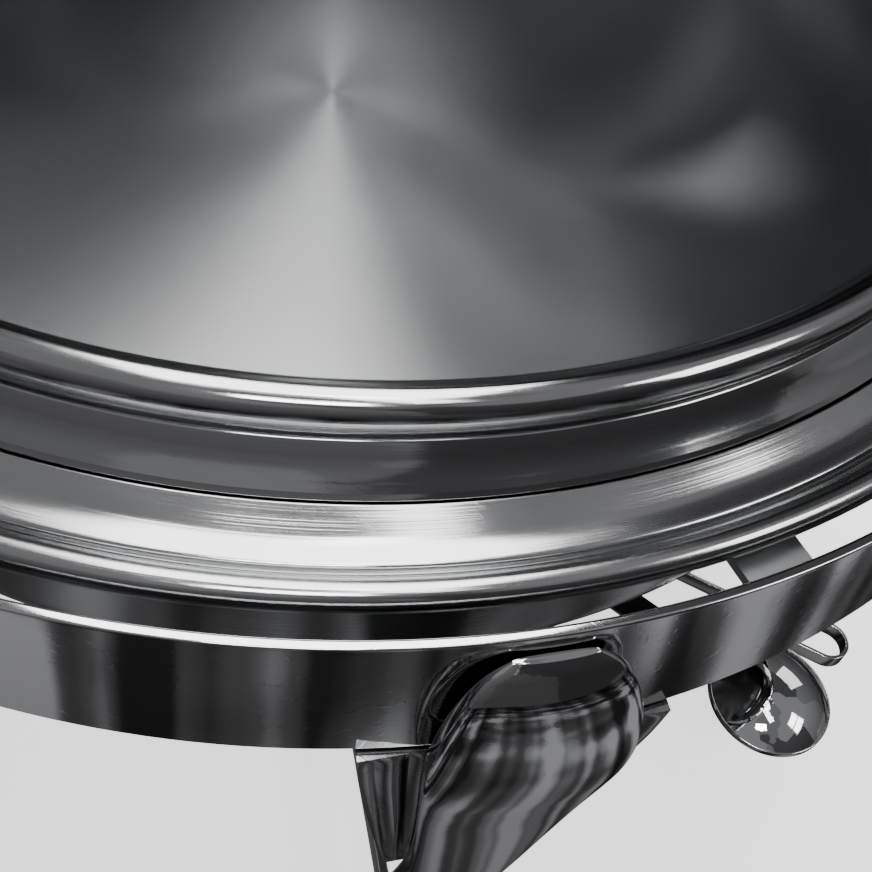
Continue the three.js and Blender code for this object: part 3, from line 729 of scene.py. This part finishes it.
make("lid_grip", on_handle(arched_grip()), bright_chrome, "lid", ["lid_handle_grip"],
     sharp=60)
for side, spread in (("right", POST_SPREAD), ("left", -POST_SPREAD)):
    lean = math.atan2(spread, LID_R)
    post = rounded([
        (0, LID_R + 0.0033, 0), (0.0066, LID_R + 0.0033, 0.0006), (0.0066, LID_R + 0.0052, 0.0012),
        (0.0042, LID_R + 0.0075, 0.002), (0.0038, LID_R + 0.015, 0.003), (0.0052, LID_R + 0.021, 0.001),
        (0.0052, LID_R + 0.0232, 0.0008), (0, LID_R + 0.0232, 0),
    ])
    rosette = rounded([
        (0, LID_R + 0.0003, 0), (0.012, LID_R + 0.0003, 0.0004), (0.0118, LID_R + 0.0013, 0.0006),
        (0.0085, LID_R + 0.0022, 0.001), (0.0075, LID_R + 0.0030, 0.0005), (0, LID_R + 0.0030, 0),
    ])
    for name, outline, node in ((f"grip_post_{side}", post, f"lid_handle_post_{side}"),
                                (f"grip_rosette_{side}", rosette, f"lid_rosette_{side}")):
        corners, faces = turned(outline, 72)
        make(name, on_handle((corners[:, [2, 1, 0]], faces), lean), bright_chrome, "lid", [node])
    hexagon = stud(0.006, LID_R - LID_WALL - 0.0072, LID_R - LID_WALL - 0.0012, 0.0006, segments=6)
    make(f"grip_nut_{side}", on_handle(hexagon, lean), satin_steel, "lid", [f"lid_handle_nut_{side}"],
         sharp=25)

# ---------------------------------------------------------------------------
# Burner cup: a pressed cup with a rounded lip, and a welded lug that carries the
# damper's pivot pin.
# ---------------------------------------------------------------------------
CUP_R = 0.043
CUP_BASE = BASE_Z + 0.0034
CUP_TOP = 0.066
LEVER_BEARING = 85
LOOP_BEARING = 96
PIN_REACH = 0.052
cup_steel = steel("satin_cup_steel", (0.46, 0.465, 0.47), 0.2, 0.12, 0.6,
                  turning={"Rings": 1400.0, "Bands": 80.0, "Breakup": 0.4}, bump=0.09, anisotropic=0.3)
cup_outline = rounded([
    (0, CUP_BASE, 0), (CUP_R, CUP_BASE, 0.003), (CUP_R, CUP_TOP, 0.0006), (CUP_R - 0.0012, CUP_TOP, 0.0006),
    (CUP_R - 0.0012, CUP_BASE + 0.0014, 0.002), (0, CUP_BASE + 0.0014, 0),
], 8)


def pin_lug():
    """A tongue with a round end about the pin, 4 mm thick: its outline carried upward."""
    outline = np.concatenate([
        [[CUP_R - 0.0002, -0.008], [CUP_R + 0.006, -0.008]],
        arc(PIN_REACH - 0.001, 0, 0.008, -85, 85, 20),
        [[CUP_R + 0.006, 0.008], [CUP_R - 0.0002, 0.008]],
    ])
    heights = CUP_TOP - np.array([0.005, 0.001])
    corners = np.stack([np.broadcast_to(outline[:, 0], (2, len(outline))),
                        np.broadcast_to(outline[:, 1], (2, len(outline))),
                        np.broadcast_to(heights[:, None], (2, len(outline)))], -1)
    return corners.reshape(-1, 3), grid_faces(2, len(outline), False, True)


make("burner_cup_body", together(turned(cup_outline, 144), placed(pin_lug(), LEVER_BEARING)), cup_steel,
     "burner", ["burner_cup"], cap=True)

# ---------------------------------------------------------------------------
# Cup handle: a flat strip on edge, welded to the cup and bent back on itself at
# its end as a finger loop.
# ---------------------------------------------------------------------------
LOOP_REACH = 0.204
STRIP = 0.0014
bright_strip = steel("bright_strip_steel", (0.58, 0.585, 0.59), 0.09, 0.06, 0.5, bump=0.05)


def looped_strip():
    """The strip's middle line seen from above: straight out, round a stadium of 6.7 mm half width and
    back to the neck. A thin upright rectangle is carried along it."""
    half, long = 0.0067, 0.005
    neck = LOOP_REACH - long - half
    run = np.stack([np.linspace(CUP_R + 0.0004, neck - 0.006, 30), np.full(30, -0.00001)], 1)
    far = arc(LOOP_REACH + long, 0, half, -90, 90, 36)
    near_out = arc(LOOP_REACH - long, 0, half, 205, 268, 14)
    near_back = arc(LOOP_REACH - long, 0, half, 92, 155, 14)
    flat = np.concatenate([run, near_out, far, near_back, [[neck - 0.004, 0.00075]]])
    path = np.column_stack([flat, np.full(len(flat), CUP_TOP - 0.0084)])
    outline = rounded([(-STRIP / 2, -0.003, 0.0004), (STRIP / 2, -0.003, 0.0004),
                       (STRIP / 2, 0.003, 0.0004), (-STRIP / 2, 0.003, 0.0004)])
    return carried(path, outline)


make("cup_finger_loop", placed(looped_strip(), LOOP_BEARING), bright_strip, "burner",
     ["burner_loop_handle"],
     cap=True)

# ---------------------------------------------------------------------------
# Damper: a flat disc over the cup on a flat lever. It swivels on a shouldered pin
# and is moved by a spoon-shaped thumb rest at the lever's end.
# ---------------------------------------------------------------------------
THUMB_R = 0.198
turn_pin = math.radians(LEVER_BEARING - 90)
PIN_PLACE = np.array([PIN_REACH * math.cos(turn_pin), PIN_REACH * math.sin(turn_pin), 0])
DAMPER_Z = CUP_TOP + 0.0003


def at_pin(shape):
    """Moves a shape from about the damper's pin, +X along the lever, to its place."""
    corners, faces = placed(shape, LEVER_BEARING)
    return corners + PIN_PLACE + [0, 0, DAMPER_Z], faces


def lever_plate():
    """One outline seen from above: three quarters of the disc, waisted into the lever, whose end is
    round. It is carried up by the sheet's 1.4 mm."""
    reach = THUMB_R - PIN_REACH
    disc = arc(-PIN_REACH, 0, CUP_R - 0.001, 10, 350, 110)
    lever = rounded([(-0.010, -0.0055, 0.003), (reach - 0.002, -0.0055, 0.0055),
                     (reach - 0.002, 0.0055, 0.0055),
                     (-0.010, 0.0055, 0.003)], 8)
    outline = np.concatenate([disc, lever])
    heights = np.array([0, 0.0014])
    corners = np.stack([np.broadcast_to(outline[:, 0], (2, len(outline))),
                        np.broadcast_to(outline[:, 1], (2, len(outline))),
                        np.broadcast_to(heights[:, None], (2, len(outline)))], -1)
    return corners.reshape(-1, 3), grid_faces(2, len(outline), False, True)


def thumb_spoon():
    """A shallow dome, part of a 29.5 mm sphere, with a rolled skirt below its rim, 1.2 mm thick."""
    crown = arc(0, -0.0212, 0.0295, 90, 49, 30)
    skirt = rounded([(0.0194, 0.0011, 0.0003), (0.0200, 0.0010, 0.0004), (0.0200, -0.0014, 0.0005),
                     (0.0187, -0.0014, 0.0004), (0.0182, 0.0002, 0.0006)])
    under = arc(0, -0.0212, 0.0281, 52, 90, 20)
    corners, faces = turned(np.concatenate([crown, skirt, under]), 96)
    return corners + [THUMB_R - PIN_REACH, 0, 0.0032], faces


make("damper_disc", at_pin(lever_plate()), bright_strip, "damper", ["damper_plate"],
     cap=True)
make("thumb_spoon", at_pin(thumb_spoon()), chrome_leg, "damper", ["damper_thumb_rest"])
pin_outline = rounded([
    (0, -0.009, 0), (0.003, -0.009, 0.0004), (0.003, 0.0017, 0), (0.0055, 0.0017, 0.0002),
    (0.0055, 0.0030, 0.0008), (0.003, 0.0036, 0.001), (0, 0.0036, 0),
])
make("damper_rivet", at_pin(turned(pin_outline, 48)), satin_steel, "burner", ["damper_pin"])

# ---------------------------------------------------------------------------
# Studio: a pale floor, a grey surround in blocky patches like a room's walls, five
# softboxes and a window of six panes. The floor is dimmer in reflections than to the eye.
# ---------------------------------------------------------------------------
floor_mesh = bpy.data.meshes.new("floor")
floor_mesh.from_pydata([(-6, -6, 0), (6, -6, 0), (6, 6, 0), (-6, 6, 0)], [], [(0, 1, 2, 3)])
floor = bpy.data.objects.new("floor", floor_mesh)
floor.location.z = -0.0005
bpy.context.scene.collection.objects.link(floor)
floor_paint = bpy.data.materials.new("floor_paint")
floor_paint.use_nodes = True
tree = floor_paint.node_tree
pale = tree.nodes["Principled BSDF"]
pale.inputs["Base Color"].default_value = (0.93, 0.93, 0.93, 1)
pale.inputs["Emission Color"].default_value = (1, 1, 1, 1)
pale.inputs["Emission Strength"].default_value = 1.4
pale.inputs["Roughness"].default_value = 0.7
place = wire(tree, "ShaderNodeTexCoord")
split = wire(tree, "ShaderNodeSeparateXYZ", None, {0: place.outputs["Object"]})
bearing = wire(tree, "ShaderNodeMath", {"operation": "ARCTAN2"}, {0: split.outputs[0], 1: split.outputs[1]})
streaks = wire(tree, "ShaderNodeTexNoise",
               {"noise_dimensions": "1D", "Scale": 4.5, "Detail": 2.5, "Roughness": 0.6},
               {"W": bearing.outputs[0]})
patches = wire(tree, "ShaderNodeTexNoise", {"Scale": 3.2, "Detail": 2.0},
               {"Vector": place.outputs["Object"]})
both = wire(tree, "ShaderNodeMath", {"operation": "MULTIPLY"},
            {0: streaks.outputs[0], 1: patches.outputs[0]})
tone = wire(tree, "ShaderNodeValToRGB", None, {0: both.outputs[0]})
tone.color_ramp.elements[0].position = 0.20
tone.color_ramp.elements[0].color = (0.012, 0.012, 0.013, 1)
tone.color_ramp.elements[1].position = 0.34
tone.color_ramp.elements[1].color = (0.30, 0.30, 0.31, 1)
middle = tone.color_ramp.elements.new(0.27)
middle.color = (0.07, 0.07, 0.072, 1)
dim = wire(tree, "ShaderNodeBsdfDiffuse", None, {"Color": tone.outputs[0]})
sight = wire(tree, "ShaderNodeLightPath")
choose = wire(tree, "ShaderNodeMixShader", None,
              {0: sight.outputs["Is Glossy Ray"], 1: pale.outputs[0], 2: dim.outputs[0]})
tree.links.new(choose.outputs[0], tree.nodes["Material Output"].inputs["Surface"])
floor_mesh.materials.append(floor_paint)

world = bpy.data.worlds.new("studio")
world.use_nodes = True
bpy.context.scene.world = world
sky = world.node_tree
ground = sky.nodes["Background"]
look = wire(sky, "ShaderNodeTexCoord")
part = wire(sky, "ShaderNodeSeparateXYZ", None, {0: look.outputs["Generated"]})
ramp = wire(sky, "ShaderNodeValToRGB", None, {0: part.outputs[2]})
ramp.color_ramp.elements[0].position = 0.10
ramp.color_ramp.elements[0].color = (0.09, 0.09, 0.092, 1)
ramp.color_ramp.elements[1].position = 0.60
ramp.color_ramp.elements[1].color = (0.22, 0.22, 0.225, 1)
cells = wire(sky, "ShaderNodeTexVoronoi", {"distance": "CHEBYCHEV", "Scale": 1.6},
             {"Vector": look.outputs["Generated"]})
shade = wire(sky, "ShaderNodeSeparateColor", None, {0: cells.outputs["Color"]})
room = wire(sky, "ShaderNodeValToRGB", None, {0: shade.outputs[0]})
room.color_ramp.interpolation = "CONSTANT"
room.color_ramp.elements[0].color = (0.35, 0.35, 0.36, 1)
room.color_ramp.elements[1].position = 0.25
room.color_ramp.elements[1].color = (0.9, 0.9, 0.92, 1)
for position, value in ((0.5, 1.3), (0.72, 0.7), (0.9, 2.0)):
    room.color_ramp.elements.new(position).color = (value, value, value, 1)
walls = wire(sky, "ShaderNodeMix", {"data_type": "RGBA", "blend_type": "MULTIPLY"})
walls.inputs[0].default_value = 1.0
sky.links.new(ramp.outputs[0], walls.inputs[6])
sky.links.new(room.outputs[0], walls.inputs[7])
sky.links.new(walls.outputs[2], ground.inputs["Color"])
ground.inputs["Strength"].default_value = 1.0


def softbox(name, place, target, width, height, power):
    """A rectangular lamp at a place, facing a target."""
    lamp = bpy.data.lights.new(name, "AREA")
    lamp.shape = "RECTANGLE"
    lamp.size, lamp.size_y, lamp.energy = width, height, power
    obj = bpy.data.objects.new(name, lamp)
    obj.location = place
    obj.rotation_euler = (Vector(target) - Vector(place)).to_track_quat("-Z", "Y").to_euler()
    bpy.context.scene.collection.objects.link(obj)
    return obj


def round_the_pan(bearing, height_angle, distance):
    """A place at a bearing from the front and an angle above the table, at a distance from the pan."""
    t, e = math.radians(bearing), math.radians(height_angle)
    return (distance * math.sin(t) * math.cos(e), -distance * math.cos(t) * math.cos(e),
            distance * math.sin(e) + 0.2)


LIGHTS = {  # bearing, angle above the table, distance, width, depth, power
    "overhead_box": (212, 77, 1.7, 0.85, 1.5, 30),
    "side_box": (62, 74, 1.9, 0.22, 0.9, 4),
    "low_left_box": (-58, 14, 2.0, 0.3, 0.9, 2),
    "rear_box": (160, 30, 2.1, 0.8, 0.8, 4),
    "front_box": (32, 57, 1.9, 0.45, 0.25, 8),
}
for name, (bearing, height_angle, distance, width, depth, power) in LIGHTS.items():
    softbox(name, round_the_pan(bearing, height_angle, distance), (0, 0, 0.2), width, depth, power)
for column in range(3):
    for row in range(2):
        pane = round_the_pan(92 + 7 * column, 34 + 9 * row, 1.9)
        softbox(f"window_pane_{column}_{row}", pane, (0, 0, 0.2), 0.19, 0.25, 1.0)

# ---------------------------------------------------------------------------
# Camera: close above the front right leg, looking down into the pans.
# ---------------------------------------------------------------------------
CAMERA_AZIMUTH = 33.6
DISTANCE = 1.618 * BAND_R
ELEVATION = math.radians(28.88)
YAW, PITCH, ROLL = (math.radians(a) for a in (-6.592, -17.914, -6.028))
camera_data = bpy.data.cameras.new("camera")
camera = bpy.data.objects.new("camera", camera_data)
bpy.context.scene.collection.objects.link(camera)
bpy.context.scene.camera = camera


def turned_about(axis, angle, vector):
    """Rodrigues' rotation of a vector about an axis."""
    axis = axis / np.linalg.norm(axis)
    return (vector * math.cos(angle) + np.cross(axis, vector) * math.sin(angle)
            + axis * np.dot(axis, vector) * (1 - math.cos(angle)))


spot = np.array([0, -DISTANCE * math.cos(ELEVATION), DISTANCE * math.sin(ELEVATION)])
ahead = -spot / np.linalg.norm(spot)
right = np.array([1.0, 0, 0])
above = np.cross(right, ahead)
ahead, right = turned_about(above, YAW, ahead), turned_about(above, YAW, right)
ahead, above = turned_about(right, PITCH, ahead), turned_about(right, PITCH, above)
right, above = turned_about(ahead, ROLL, right), turned_about(ahead, ROLL, above)
swing = math.radians(CAMERA_AZIMUTH)
about_z = np.array([[math.cos(swing), -math.sin(swing), 0], [math.sin(swing), math.cos(swing), 0],
                    [0, 0, 1]])
columns = np.stack([about_z @ right, about_z @ above, -(about_z @ ahead)], 1)
spot = about_z @ spot + [0, 0, BAND_TOP]
matrix = np.eye(4)
matrix[:3, :3], matrix[:3, 3] = columns, spot
camera.matrix_world = Matrix(matrix.tolist())
camera_data.sensor_width = 36
camera_data.lens = 48.83
camera_data.shift_x = -0.010
camera_data.shift_y = -0.110
camera_data.clip_start = 0.01
